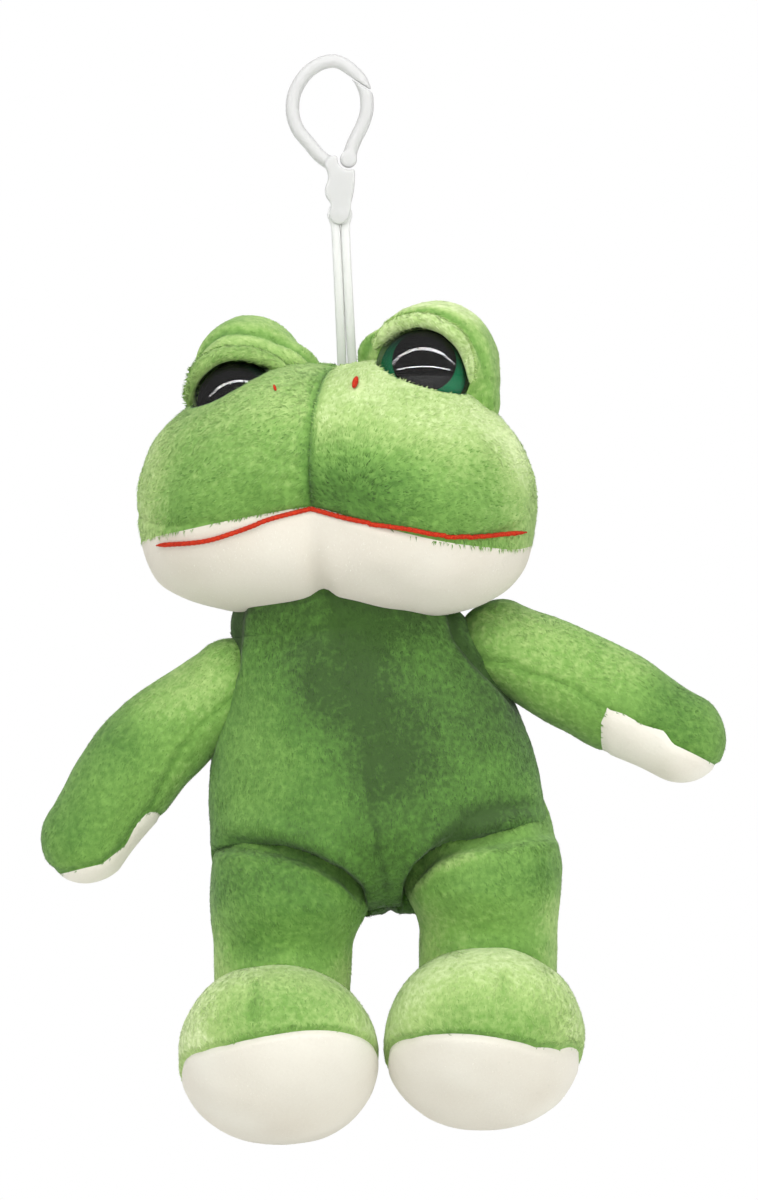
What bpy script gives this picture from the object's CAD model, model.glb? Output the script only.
"""Looks of the plush frog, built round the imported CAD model.

Metres, +Z up, the frog faces -Y and +X is to the viewer's right.
Each stuffed form repeats the CAD source's shape on a fine mesh, gets its seams, creases and lumps,
and is split into cloth panels. Each panel then grows a short pile of flat strands.
"""
import itertools
import math
import zlib

import bmesh
import bpy
import numpy as np
from mathutils import Matrix, Vector
from mathutils.bvhtree import BVHTree


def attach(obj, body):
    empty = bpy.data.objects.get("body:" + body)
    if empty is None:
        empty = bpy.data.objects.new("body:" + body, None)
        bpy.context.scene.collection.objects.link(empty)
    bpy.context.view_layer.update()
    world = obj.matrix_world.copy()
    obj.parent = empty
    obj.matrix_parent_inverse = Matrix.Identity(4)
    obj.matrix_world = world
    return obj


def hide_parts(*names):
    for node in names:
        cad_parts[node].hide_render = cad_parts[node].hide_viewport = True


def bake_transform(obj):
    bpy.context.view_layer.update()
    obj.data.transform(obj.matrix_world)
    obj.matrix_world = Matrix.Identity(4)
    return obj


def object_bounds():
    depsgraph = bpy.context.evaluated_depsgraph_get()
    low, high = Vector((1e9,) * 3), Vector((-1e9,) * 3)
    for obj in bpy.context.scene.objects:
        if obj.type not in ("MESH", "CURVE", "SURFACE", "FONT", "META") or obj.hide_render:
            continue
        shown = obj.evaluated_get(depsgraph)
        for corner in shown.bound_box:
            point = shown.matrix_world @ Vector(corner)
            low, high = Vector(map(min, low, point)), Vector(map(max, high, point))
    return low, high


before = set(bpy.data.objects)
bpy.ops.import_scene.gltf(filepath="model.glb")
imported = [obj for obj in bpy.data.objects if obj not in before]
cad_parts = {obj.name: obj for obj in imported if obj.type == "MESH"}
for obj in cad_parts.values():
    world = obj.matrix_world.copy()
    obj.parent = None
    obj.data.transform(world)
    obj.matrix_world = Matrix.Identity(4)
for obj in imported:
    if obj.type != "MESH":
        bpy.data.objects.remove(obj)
CAD_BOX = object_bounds()

# Sizes, as in the CAD source
CLOTH = 0.0012
PLAY = 0.0003
RING_STOCK = 0.0035
RING_LENGTH = 0.0248
NECK_SIDE = 0.0024
BAR_BELOW_RING = 0.0121
BAR_RADIUS = 0.0008
STRAP_THICKNESS = 0.00165
STRAP_WIDTH = 0.0026
STRAP_LENGTH = 0.0445
STRAP_LEAN_DEG = 2.8
STRAP_SPREAD = 0.0026
TACK_RADIUS = 0.0007
HEAD_WIDTH = 0.0938
HEAD_FRONT = 0.0370
HEAD_BACK = 0.0300
HEAD_TOP = 0.0292
HEAD_BOTTOM = 0.0328
HEAD_DROOP = 0.0060
HEAD_PITCH_DEG = 12.0
HEAD_YAW_DEG = 11.0
HEAD_ROLL_DEG = -0.5
CHIN_NOTCH = 0.0022
MOUTH_GROOVE = 0.0014
MOUTH_LOW_DEG = 5.5
MOUTH_BOW_DEG = 15.0
CHEEK_PUFF = 0.0020
EYE_DENT = 0.0032
TACK_SIDE = -0.0007
TACK_BACK = 0.0117
TACK_DEPTH = 0.0044
HOOD_RADIUS = 0.0148
HOOD_FORWARD = 0.0060
EYE_RADIUS = 0.0110
EYE_TURN_DEG = 12.0
EYE_SEAT = 0.0056
PLATE_THICKNESS = 0.0008
DISC_THICKNESS = 0.0005
MOUTH_CORD = 0.0011
NECK_BELOW_HEAD = 0.0345
NECK_TO_SIDE = 0.0036
NECK_BEHIND_HEAD = 0.0036
NECK_HALF_WIDTH = 0.0260
NECK_RADIUS = 0.0210
TORSO_LEAN_DEG = 7.4
TORSO_HALF_WIDTH = 0.0405
TORSO_FRONT = 0.0280
TORSO_BACK = 0.0250
BELLY_BELOW_NECK = 0.0500
SEAT_BELOW_NECK = 0.0700
SEAT_TILT = 0.0080
ARM_ROOT_RADIUS = 0.0108
ARM_RADIUS = 0.0126
HAND_RADIUS = 0.0112
ARM_RADIUS_SHARES = (0.00, 0.45, 0.80, 1.00, 1.00, 1.00)
LEG_RADIUS = 0.0165
LEG_LENGTH = 0.0195
HIP_FORWARD = 0.0020
FOOT_HALF_WIDTH = 0.0248
FOOT_HALF_LENGTH = 0.0285
FOOT_TOP = 0.0205
FOOT_SOLE = 0.0170
FOOT_TILT_DEG = 36.0
FOOT_FORWARD = 0.0080
FOOT_DROP = 0.0172
SIDES = {"left": -1.0, "right": 1.0}
UP = Vector((0.0, 0.0, 1.0))

# Sizes that the CAD source hasn't, has a little different, or names one by one for each side
STRAP_SWELL = 0.0003
MUZZLE_VALLEY = 0.0022
MOUTH_DEG = -22.5
CROWN_DEG = 112.5
MOUTH_LIFT_LEFT_DEG = 8.0
CHEEK_POLE = (0.35, -0.22)
RIGHT_EYE_RISE = 0.0016
HOOD_OUT = {"left": 0.0224, "right": 0.0234}
HOOD_HEIGHT = {"left": 0.0235, "right": 0.0266}
EYE_DOME = 0.0080
EYE_RAISE = 0.0022
EYE_LOWER = {"left": 0.0, "right": 0.0015}
PUPIL_RISE = {"left": 0.0006, "right": 0.0014}
EYE_LENS = 0.0006
EYE_ROOM_LOW = -0.0040
EYE_DROP = {"left": 0.0088, "right": 0.0026}
EYE_IN = {"left": 0.0025, "right": 0.0030}
PUPIL_RADIUS = {"left": 0.0080, "right": 0.0075}
LID_RADIUS = 0.0018
LID_SWEEP_DEG = {"inner": 66.0, "outer": 104.0}
LID_SHIFT = {"left": 0.0021, "right": 0.0015}
HOOD_CREASE = {"left": 0.0080, "right": 0.0040}
THREAD_LIFT = 0.0004
ARM_LENGTH = {"left": 0.0505, "right": 0.0485}
ARM_BOW = {"left": 0.0030, "right": 0.0005}
SHOULDER_DROP = {"left": 0.0134, "right": 0.0040}
SHOULDER_OUT = {"left": 0.0290, "right": 0.0350}
ARM_ANGLE_DEG = {"left": 43.0, "right": 62.2}
HIP_DROP = {"left": 0.0657, "right": 0.0618}
HIP_OUT = {"left": 0.0166, "right": 0.0322}
THIGH_RISE = 1.6
FOOT_OUT = {"left": 0.0010, "right": -0.0012}

# The photograph's view: its size in pixels, metres of the y=0 plane in one, and the point in its middle
FRAME_WIDTH, FRAME_HEIGHT = 758, 1200
PIXEL = 0.00024
VIEW_DISTANCE = 1.2
VIEW_X, VIEW_Z = 0.0118, -0.1276

# Colours of the green pile from its darkest to its lightest, sRGB
GREENS = ((44, 78, 12), (78, 124, 41), (114, 158, 69), (163, 193, 113), (212, 228, 170))
WHITE = (229, 226, 214)
PILE_TONES = 12

# How far the forms shrink to make room for their pile, and how deep its strands are rooted
PILE_ROOM = 0.0004
PILE_ROOT_DEPTH = 0.0003

# Lines of the photograph, in its pixels
MOUTH_LINES = {
    "left": ((311, 509), (271, 519), (238, 531), (204, 541), (158, 545)),
    "right": ((311, 509), (358, 521), (409, 528), (443, 535), (479, 537), (525, 532)),
}
# Each nostril's ends, its thickness and how far it stands out of the pile, in metres
NOSTRILS = {
    "left": ((276, 392), (274, 386), 0.00034, 0.0),
    "right": ((354, 390), (357, 379), 0.00070, 0.0002),
}
HIP_LINES = {
    "left": ((205, 845), (250, 845), (278, 848), (313, 861), (342, 877), (367, 899)),
    "right": ((402, 899), (415, 873), (434, 855), (462, 845), (500, 840), (552, 832)),
}
ARM_SEAMS = {
    "left": ((224, 705), (200, 727), (181, 753), (163, 788), (151, 811)),
    "right": ((470, 652), (486, 662), (507, 663), (530, 674), (555, 680), (574, 689), (604, 709)),
}
PALM_EDGES = {
    "left": ((170, 826), (157, 812), (148, 812), (136, 825), (126, 845), (102, 864), (85, 868), (61, 874),
             (36, 864), (26, 856)),
    "right": ((730, 776), (715, 765), (694, 754), (673, 744), (664, 731), (643, 725), (624, 714), (607, 709),
              (601, 723), (601, 743), (607, 768)),
}

# Single places in the photograph's pixels: the whorl of the muzzle's pile, the heights and sides where the
# muzzle turns dark or light, the fold beside the neck, the seat's tuck, and the light ends of the legs
WHORL = (352, 500)
MUZZLE_DARK_FROM = {"left": 400, "right": 415}
MUZZLE_LIGHT_FROM = {"left": 190, "right": 480}
NECK_FOLD_HEIGHT = 625
NECK_FOLD_ENDS = (300, 235)
SEAT_HEIGHTS = (900, 925)
SEAT_MIDDLE = 386
SHIN_LIGHT_FROM = 945
THIGH_LIGHT_TO = 500

# Height of the seam round each foot, as shares of the unit sphere, from its outer to its inner side
SOLE_SEAM_SHARES = {
    "left": (-0.18, -0.34, -0.40, -0.37, -0.31, -0.24, -0.17, -0.10, 0.00),
    "right": (-0.20, -0.51, -0.63, -0.62, -0.58, -0.54, -0.48, -0.38, -0.20),
}


# Small numeric helpers. Points are rows of an array

def fade(value, start, end):
    share = np.clip((value - start) / (end - start), 0.0, 1.0)
    return share * share * (3.0 - 2.0 * share)


def mix(first, second, share):
    return first + (second - first) * share


def unit(vectors):
    return vectors / np.maximum(np.linalg.norm(vectors, axis=1, keepdims=True), 1e-12)


def bump(value, middle, width):
    return np.exp(-((value - middle) / width) ** 2)


def placed(matrix, points):
    m = np.array(matrix)
    return points @ m[:3, :3].T + m[:3, 3]


def seen_at(x, y):
    """The point of the y=0 plane that the photograph shows at a pixel, as (x, z)."""
    return ((x - FRAME_WIDTH / 2) * PIXEL + VIEW_X, -(y - FRAME_HEIGHT / 2) * PIXEL + VIEW_Z)


def seen_x(x):
    return seen_at(x, 0)[0]


def seen_z(y):
    return seen_at(0, y)[1]


def as_seen(points):
    """Where the photograph's camera sees the points, on the y=0 plane, as rows of (x, z)."""
    near = VIEW_DISTANCE / (VIEW_DISTANCE + points[:, 1])
    return np.stack(((points[:, 0] - VIEW_X) * near + VIEW_X, (points[:, 2] - VIEW_Z) * near + VIEW_Z), 1)


def noise(points, size, seed):
    """Smooth noise from -1 to 1 whose features are about this size."""
    values = 4096
    table = np.random.RandomState(seed).uniform(-1.0, 1.0, values)
    cell = np.floor(points / size).astype(np.int64)
    part = points / size - cell
    part = part * part * (3.0 - 2.0 * part)
    total = np.zeros(len(points))
    for corner in itertools.product((0, 1), repeat=3):
        at = cell + corner
        key = (at[:, 0] * 73856093 ^ at[:, 1] * 19349663 ^ at[:, 2] * 83492791) & (values - 1)
        total += table[key] * np.prod(np.where(corner, part, 1.0 - part), axis=1)
    return total


def noise_layers(points, *layers):
    """Layers of noise added up, each a strength, a size and a seed."""
    return sum(strength * noise(points, size, seed) for strength, size, seed in layers)


def noise_vector(points, size, seed):
    return np.stack([noise(points, size, seed + axis) for axis in range(3)], 1)


def line_distance(points, line):
    """How far flat points are from a line of points."""
    line = np.array(line)
    best = np.full(len(points), np.inf)
    for start, end in zip(line, line[1:]):
        along = end - start
        share = np.clip((points - start) @ along / (along @ along), 0.0, 1.0)
        best = np.minimum(best, np.linalg.norm(points - start - share[:, None] * along, axis=1))
    return best


def line_side(points, line):
    """Distance from a line of seen points, positive on the left of its direction."""
    line = np.array(line)
    best = np.full(len(points), np.inf)
    side = np.zeros(len(points))
    for order, (start, end) in enumerate(zip(line, line[1:])):
        along = end - start
        offset = points - start
        share = offset @ along / (along @ along)
        low = -np.inf if order == 0 else 0.0
        high = np.inf if order == len(line) - 2 else 1.0
        far = np.linalg.norm(offset - np.clip(share, low, high)[:, None] * along, axis=1)
        nearer = far < best
        side = np.where(nearer, np.sign(along[0] * offset[:, 1] - along[1] * offset[:, 0]), side)
        best = np.where(nearer, far, best)
    return best * side


def full_round(first, second, power):
    return (np.abs(first) ** power + np.abs(second) ** power) ** (-1.0 / power)


def along_table(shares, share):
    return np.interp(share, np.linspace(0.0, 1.0, len(shares)), shares)


# Places, as in the CAD source

def turn(degrees, axis):
    return Matrix.Rotation(math.radians(degrees), 4, axis)


BAR_PLACE = Vector((NECK_SIDE, 0.0, RING_STOCK / 2 - RING_LENGTH - BAR_BELOW_RING))
STRAP_FRAME = Matrix.Translation(BAR_PLACE) @ turn(-STRAP_LEAN_DEG, "Y")
TACK_PLACE = STRAP_FRAME @ Vector((0.0, 0.0, -STRAP_LENGTH))
HEAD_TURN = turn(-HEAD_YAW_DEG, "Z") @ turn(-HEAD_ROLL_DEG, "Y") @ turn(-HEAD_PITCH_DEG, "X")
TACK_IN_HEAD = Vector((TACK_SIDE, TACK_BACK,
                       HEAD_TOP * math.sqrt(1.0 - (TACK_BACK / HEAD_BACK) ** 2) - TACK_DEPTH))
HEAD_PLACE = TACK_PLACE - HEAD_TURN @ TACK_IN_HEAD
HEAD_FRAME = Matrix.Translation(HEAD_PLACE) @ HEAD_TURN
NECK_PLACE = HEAD_PLACE + Vector((NECK_TO_SIDE, NECK_BEHIND_HEAD, -NECK_BELOW_HEAD))
TORSO_FRAME = Matrix.Translation(NECK_PLACE) @ turn(-TORSO_LEAN_DEG, "Y")


def shoulder_place(side):
    return NECK_PLACE + Vector((SIDES[side] * SHOULDER_OUT[side], 0.0, -SHOULDER_DROP[side]))


def arm_turn(side):
    angle = math.radians(ARM_ANGLE_DEG[side])
    along = Vector((SIDES[side] * math.sin(angle), 0.0, -math.cos(angle)))
    upper = Vector((SIDES[side] * math.cos(angle), 0.0, math.sin(angle)))
    return Matrix((upper, along.cross(upper), along)).transposed().to_4x4()


def hip_place(side):
    return NECK_PLACE + Vector((SIDES[side] * HIP_OUT[side], -HIP_FORWARD, -HIP_DROP[side]))


def ankle_place(side):
    return hip_place(side) - UP * LEG_LENGTH


def foot_frame(side):
    shift = Vector((SIDES[side] * FOOT_OUT[side], -FOOT_FORWARD, -FOOT_DROP))
    return Matrix.Translation(ankle_place(side) + shift) @ turn(-FOOT_TILT_DEG, "X")


def hood_frame(side):
    middle = Vector((SIDES[side] * HOOD_OUT[side], -HOOD_FORWARD, HOOD_HEIGHT[side]))
    return HEAD_FRAME @ Matrix.Translation(middle) @ turn(SIDES[side] * EYE_TURN_DEG, "Z") @ turn(90.0, "X")


def eye_frame(side):
    drop = EYE_DROP[side] + EYE_LOWER[side]
    return hood_frame(side) @ Matrix.Translation((-SIDES[side] * EYE_IN[side], -drop, EYE_RAISE))


# Materials

def linear(colour):
    part = np.array(colour) / 255.0
    return tuple(np.where(part <= 0.04045, part / 12.92, ((part + 0.055) / 1.055) ** 2.4)) + (1.0,)


def new_material(name, colour, roughness, **sockets):
    material = bpy.data.materials.new(name)
    material.use_nodes = True
    shader = material.node_tree.nodes["Principled BSDF"]
    shader.inputs["Base Color"].default_value = colour
    shader.inputs["Roughness"].default_value = roughness
    for socket, value in sockets.items():
        shader.inputs[socket.replace("_", " ")].default_value = value
    return material


def add_node(material, kind, **values):
    node = material.node_tree.nodes.new(kind)
    for name, value in values.items():
        if name in node.inputs:
            node.inputs[name].default_value = value
        else:
            setattr(node, name, value)
    return node


def link(material, start, start_socket, end, end_socket):
    material.node_tree.links.new(start.outputs[start_socket], end.inputs[end_socket])


def grain(material, scale, strength, distance, detail=3.0):
    """Adds a fine bump from noise in object space. Returns the noise."""
    nodes = material.node_tree.nodes
    place = nodes.new("ShaderNodeTexCoord")
    fine = add_node(material, "ShaderNodeTexNoise", Scale=scale, Detail=detail)
    rise = add_node(material, "ShaderNodeBump", Strength=strength, Distance=distance)
    link(material, place, "Object", fine, "Vector")
    link(material, fine, "Fac", rise, "Height")
    link(material, rise, "Normal", nodes["Principled BSDF"], "Normal")
    return fine


def colour_by(material, source, socket, stops, positions):
    """Colours the surface over sRGB stops by a node's value."""
    nodes = material.node_tree.nodes
    ramp = nodes.new("ShaderNodeValToRGB")
    while len(ramp.color_ramp.elements) < len(stops):
        ramp.color_ramp.elements.new(0.5)
    for element, colour, position in zip(ramp.color_ramp.elements, stops, positions):
        element.position = position
        element.color = linear(colour)
    link(material, source, socket, ramp, "Fac")
    link(material, ramp, "Color", nodes["Principled BSDF"], "Base Color")


def cloth_material(name, stops, contrast, scale, bump_strength):
    """Cloth whose colour runs over stops by the tone at each corner, with fine flecks."""
    material = new_material(name, linear(stops[-1]), 0.95, Sheen_Weight=0.08, Sheen_Roughness=0.5)
    fine = grain(material, scale, bump_strength, 0.0004)
    tone = add_node(material, "ShaderNodeAttribute", attribute_name="tone")
    shift = add_node(material, "ShaderNodeMath", operation="MULTIPLY_ADD")
    shift.inputs[1].default_value = contrast
    shift.inputs[2].default_value = -contrast / 2
    total = add_node(material, "ShaderNodeMath", operation="ADD")
    link(material, fine, "Fac", shift, 0)
    link(material, tone, "Fac", total, 0)
    link(material, shift, "Value", total, 1)
    colour_by(material, total, "Value", stops, np.linspace(0.0, 1.0, len(stops)))
    return material


def pile_colour(share):
    at = share * (len(GREENS) - 1)
    low = min(int(at), len(GREENS) - 2)
    return mix(np.array(GREENS[low], float), np.array(GREENS[low + 1], float), at - low)


GREEN_CLOTH = cloth_material("green_cloth", GREENS, 0.5, 700.0, 0.5)
WHITE_CLOTH = cloth_material("white_cloth", ((204, 196, 180), (216, 210, 196), WHITE), 0.2, 1400.0, 0.15)
GREEN_PILE = [new_material(f"green_pile_{order}", linear(pile_colour(order / (PILE_TONES - 1))), 0.9,
                           Sheen_Weight=0.08, Sheen_Roughness=0.5) for order in range(PILE_TONES)]
WHITE_PILE = [new_material(f"white_pile_{order}", linear(np.array(WHITE) * shade), 0.9,
                           Sheen_Weight=0.2, Sheen_Roughness=0.5)
              for order, shade in enumerate((0.95, 0.98, 1.0))]


# Meshes from arrays

def mesh_of(name, corners, faces, material, tone=None):
    mesh = bpy.data.meshes.new(name)
    mesh.from_pydata(np.asarray(corners).tolist(), [], [tuple(face) for face in faces])
    mesh.update()
    mesh.shade_smooth()
    mesh.materials.append(material)
    if tone is not None:
        mesh.attributes.new("tone", "FLOAT", "POINT").data.foreach_set("value", np.asarray(tone, np.float32))
    return mesh


def new_object(name, data):
    thing = bpy.data.objects.new(name, data)
    bpy.context.scene.collection.objects.link(thing)
    return thing


def applied(thing):
    """The object's mesh with its modifiers applied."""
    bpy.context.view_layer.update()
    return bpy.data.meshes.new_from_object(thing.evaluated_get(bpy.context.evaluated_depsgraph_get()))


def add_piece(name, mesh, body, nodes=(), blend=None):
    """blend is (body_a, body_b, start, end) for cloth that crosses a joint."""
    piece = new_object(name, mesh)
    if blend:
        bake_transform(piece)
    else:
        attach(piece, body)
    if nodes:
        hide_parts(*nodes)


class Form:
    """A closed surface with a normal, a tone and a nap direction at each corner."""

    def __init__(self, points, faces, directions=None):
        self.points = points
        self.faces = faces
        self.directions = directions
        self.find_normals()
        self.tone = np.full(len(points), 0.5)
        self.nap = np.tile((0.0, 0.0, -1.0), (len(points), 1))

    def find_normals(self):
        tri = self.triangles(self.faces)
        a, b, c = (self.points[tri[:, k]] for k in range(3))
        flat = np.cross(b - a, c - a)
        total = np.zeros_like(self.points)
        for k in range(3):
            np.add.at(total, tri[:, k], flat)
        self.normals = unit(total)

    @staticmethod
    def triangles(faces):
        quads = np.array([f for f in faces if len(f) == 4]).reshape(-1, 4)
        threes = np.array([f for f in faces if len(f) == 3]).reshape(-1, 3)
        return np.concatenate((threes, quads[:, [0, 1, 2]], quads[:, [0, 2, 3]])).astype(int)

    def push(self, amount):
        """Moves each corner along its normal."""
        self.points = self.points + self.normals * np.asarray(amount)[:, None]
        self.find_normals()

    def middles(self):
        return np.array([self.directions[list(face)].mean(0) for face in self.faces])

    def split(self, field):
        """Moves corners onto the line where the field is zero. Returns which faces lie above zero."""
        edges = {tuple(sorted(pair)) for face in self.faces for pair in zip(face, face[1:] + face[:1])}
        edges = np.array(sorted(edges))
        field = field.copy()
        a, b = edges[field[edges[:, 0]] * field[edges[:, 1]] < 0].T
        share = field[a] / (field[a] - field[b])
        near = np.where(share < 0.5, a, b)
        crossing = self.points[a] + (self.points[b] - self.points[a]) * share[:, None]
        step = np.linalg.norm(crossing - self.points[near], axis=1)
        for order in np.argsort(-step):
            self.points[near[order]] = crossing[order]
            field[near[order]] = 0.0
        faces = []
        for face in self.faces:
            values = [field[corner] for corner in face]
            if len(face) == 4 and min(values) < 0 < max(values):
                first = 0 if values[0] == 0 and values[2] == 0 else 1
                if values[first] == 0 and values[first + 2] == 0:
                    turned_face = face[first:] + face[:first]
                    faces += [turned_face[:3], (turned_face[0],) + turned_face[2:]]
                    continue
            faces.append(face)
        self.faces = faces
        return np.array([sum(field[corner] for corner in face) > 0 for face in faces])


def globe(segments, rings):
    """Directions and faces of a sphere with its poles on Z."""
    theta = np.pi * np.arange(1, rings) / rings
    phi = 2.0 * np.pi * np.arange(segments) / segments
    t, p = np.meshgrid(theta, phi, indexing="ij")
    body = np.stack((np.sin(t) * np.cos(p), np.sin(t) * np.sin(p), np.cos(t)), -1).reshape(-1, 3)
    directions = np.concatenate((((0, 0, 1.0),), body, ((0, 0, -1.0),)))
    faces = []
    for j in range(segments):
        after = (j + 1) % segments
        faces.append((0, 1 + j, 1 + after))
        for i in range(rings - 2):
            low, high = 1 + i * segments, 1 + (i + 1) * segments
            faces.append((low + j, high + j, high + after, low + after))
        last = 1 + (rings - 2) * segments
        faces.append((last + j, len(directions) - 1, last + after))
    return directions, faces


def form_of(shape_of, place, segments, rings):
    directions, faces = globe(segments, rings)
    return Form(placed(place, shape_of(directions)), faces, directions)


def shell(name, form, faces, material):
    """The chosen faces as one closed piece of cloth."""
    steps = {pair for face in faces for pair in zip(face, face[1:] + face[:1])}
    rim = sorted(pair for pair in steps if (pair[1], pair[0]) not in steps)
    used = sorted({corner for face in faces for corner in face})
    place = {corner: order for order, corner in enumerate(used)}
    count = len(used)
    outer = form.points[used]
    inner = outer - form.normals[used] * CLOTH
    made = [tuple(place[c] for c in face) for face in faces]
    made += [tuple(place[c] + count for c in reversed(face)) for face in faces]
    made += [(place[b], place[a], place[a] + count, place[b] + count) for a, b in rim]
    tone = np.tile(form.tone[used], 2)
    mesh = mesh_of(name, np.concatenate((outer, inner)), made, material, tone)
    mesh.set_sharp_from_angle(angle=math.radians(60.0))
    return mesh


def grow(name, form, faces, coat, keep=None):
    """A pile of flat strands on the chosen faces, as one mesh with a few plain colours."""
    rng = np.random.RandomState(zlib.crc32(name.encode()))
    tri = Form.triangles(faces)
    a, b, c = (form.points[tri[:, k]] for k in range(3))
    area = np.linalg.norm(np.cross(b - a, c - a), axis=1) / 2
    count = int(area.sum() * coat["density"])
    pick = np.searchsorted(np.cumsum(area), rng.uniform(0.0, area.sum(), count)).clip(0, len(tri) - 1)
    u, v = rng.uniform(size=(2, count))
    over = u + v > 1.0
    u[over], v[over] = 1.0 - u[over], 1.0 - v[over]
    weights = np.stack((1.0 - u - v, u, v), 1)

    def read(values):
        return np.einsum("nk,nkd->nd", weights, values[tri[pick]])

    root = read(form.points)
    if keep is not None:
        held = keep(root)
        root, weights, pick = root[held], weights[held], pick[held]
        count = len(root)
    normal = unit(read(form.normals))
    wander = coat["wander"]
    nap = unit(read(form.nap)) + 0.35 * noise_vector(root, 0.007, 11)
    nap += wander * noise_vector(root, 0.0020, 21)
    nap += rng.normal(0.0, 0.4 * wander, (count, 3))
    along = unit(nap - normal * np.sum(nap * normal, axis=1, keepdims=True))
    side = np.cross(normal, along)
    tuft = noise(root, 0.00055, 32)
    raised = coat["lift"] + 6.0 * noise(root, 0.005, 31) + coat["tuft"] * tuft
    lift = np.radians(raised + rng.normal(0.0, 4.0, count))
    length = coat["length"] * rng.uniform(0.7, 1.15, count)
    width = coat["width"] * rng.uniform(0.7, 1.2, count)

    def step(angle, share):
        return (along * np.cos(angle)[:, None] + normal * np.sin(angle)[:, None]) * (length * share)[:, None]

    start = root - normal * PILE_ROOT_DEPTH
    middle = start + step(lift + 0.30, 0.5)
    tip = middle + step(lift - 0.35, 0.5) + 0.12 * coat["length"] * noise_vector(root, 0.0012, 41)
    half = side * width[:, None] / 2
    corners = np.stack((start - half, start + half, middle - half * 0.8, middle + half * 0.8, tip), 1)
    ruffled = fade(noise(root, 0.011, 52), -0.3, 0.4)
    tone = read(form.tone[:, None])[:, 0] + rng.normal(0.0, 0.035, count)
    tone -= mix(*coat["gaps"], ruffled) * np.clip(tuft - 0.22, 0.0, None)
    slots = len(coat["materials"])
    slot = (np.clip(tone, 0.0, 0.999) * slots).astype(np.int32)

    mesh = bpy.data.meshes.new(name)
    mesh.vertices.add(5 * count)
    mesh.vertices.foreach_set("co", corners.astype(np.float32).ravel())
    order = np.arange(count)[:, None] * 5 + np.array((0, 1, 3, 2, 2, 3, 4))
    mesh.loops.add(7 * count)
    mesh.loops.foreach_set("vertex_index", order.astype(np.int32).ravel())
    starts = np.arange(count)[:, None] * 7 + np.array((0, 4))
    mesh.polygons.add(2 * count)
    mesh.polygons.foreach_set("loop_start", starts.astype(np.int32).ravel())
    for material in coat["materials"]:
        mesh.materials.append(material)
    mesh.polygons.foreach_set("material_index", np.repeat(slot, 2))
    mesh.update(calc_edges=True)
    mesh.shade_smooth()
    return mesh


COATS = {
    "green": {"density": 3.2e6, "length": 0.0016, "width": 0.00029, "lift": 17.0, "tuft": 11.0,
              "wander": 0.35, "gaps": (0.08, 0.34), "materials": GREEN_PILE},
    "hood": {"density": 3.6e6, "length": 0.0013, "width": 0.00029, "lift": 13.0, "tuft": 8.0,
             "wander": 0.30, "gaps": (0.02, 0.20), "materials": GREEN_PILE},
    "smooth": {"density": 3.4e6, "length": 0.0014, "width": 0.00028, "lift": 14.0, "tuft": 4.0,
               "wander": 0.18, "gaps": (0.0, 0.10), "materials": GREEN_PILE},
    "lid": {"density": 4.0e6, "length": 0.0017, "width": 0.00029, "lift": 30.0, "tuft": 11.0,
            "wander": 0.35, "gaps": (0.08, 0.20), "materials": GREEN_PILE},
    "white": {"density": 1.4e6, "length": 0.0008, "width": 0.00022, "lift": 25.0, "tuft": 5.0,
              "wander": 0.35, "gaps": (0.0, 0.0), "materials": WHITE_PILE},
}


def add_pile(name, form, faces, coat, body, blend=None, keep=None):
    name = name + "_pile"
    add_piece(name, grow(name, form, faces, COATS[coat], keep), body, (), blend)


def dress(name, form, wanted, coat, body, nodes, blend=None, keep=None, cutter=None):
    """One cloth panel and its pile."""
    faces = [face for face, chosen in zip(form.faces, wanted) if chosen]
    material = WHITE_CLOTH if coat == "white" else GREEN_CLOTH
    mesh = shell(name, form, faces, material)
    if cutter is not None:
        mesh = cut(mesh, cutter)
    add_piece(name, mesh, body, nodes, blend)
    add_pile(name, form, faces, coat, body, blend, keep)


def cut(mesh, cutter):
    """The mesh less the cutter's mesh."""
    thing = new_object("cut", mesh)
    tool = new_object("tool", cutter)
    step = thing.modifiers.new("cut", "BOOLEAN")
    step.operation, step.object, step.solver = "DIFFERENCE", tool, "EXACT"
    made = applied(thing)
    for part in (thing, tool):
        bpy.data.objects.remove(part, do_unlink=True)
    return made


def turned(name, profile, place, material, steps=120):
    """A closed profile of (radius, height) pairs turned about its own Z axis."""
    shape = bmesh.new()
    rings = []
    for radius, height in profile:
        if radius == 0:
            rings.append([shape.verts.new((0.0, 0.0, height))])
            continue
        turns = [2.0 * math.pi * step / steps for step in range(steps)]
        rings.append([shape.verts.new((radius * math.cos(a), radius * math.sin(a), height)) for a in turns])
    for upper, lower in zip(rings, rings[1:]):
        for step in range(steps):
            after = (step + 1) % steps
            corners = [upper[step % len(upper)], lower[step % len(lower)],
                       lower[after % len(lower)], upper[after % len(upper)]]
            shape.faces.new(list(dict.fromkeys(corners)))
    shape.transform(place)
    bmesh.ops.recalc_face_normals(shape, faces=shape.faces[:])
    mesh = bpy.data.meshes.new(name)
    shape.to_mesh(mesh)
    shape.free()
    mesh.materials.append(material)
    mesh.shade_smooth()
    mesh.set_sharp_from_angle(angle=math.radians(40.0))
    return mesh


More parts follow.
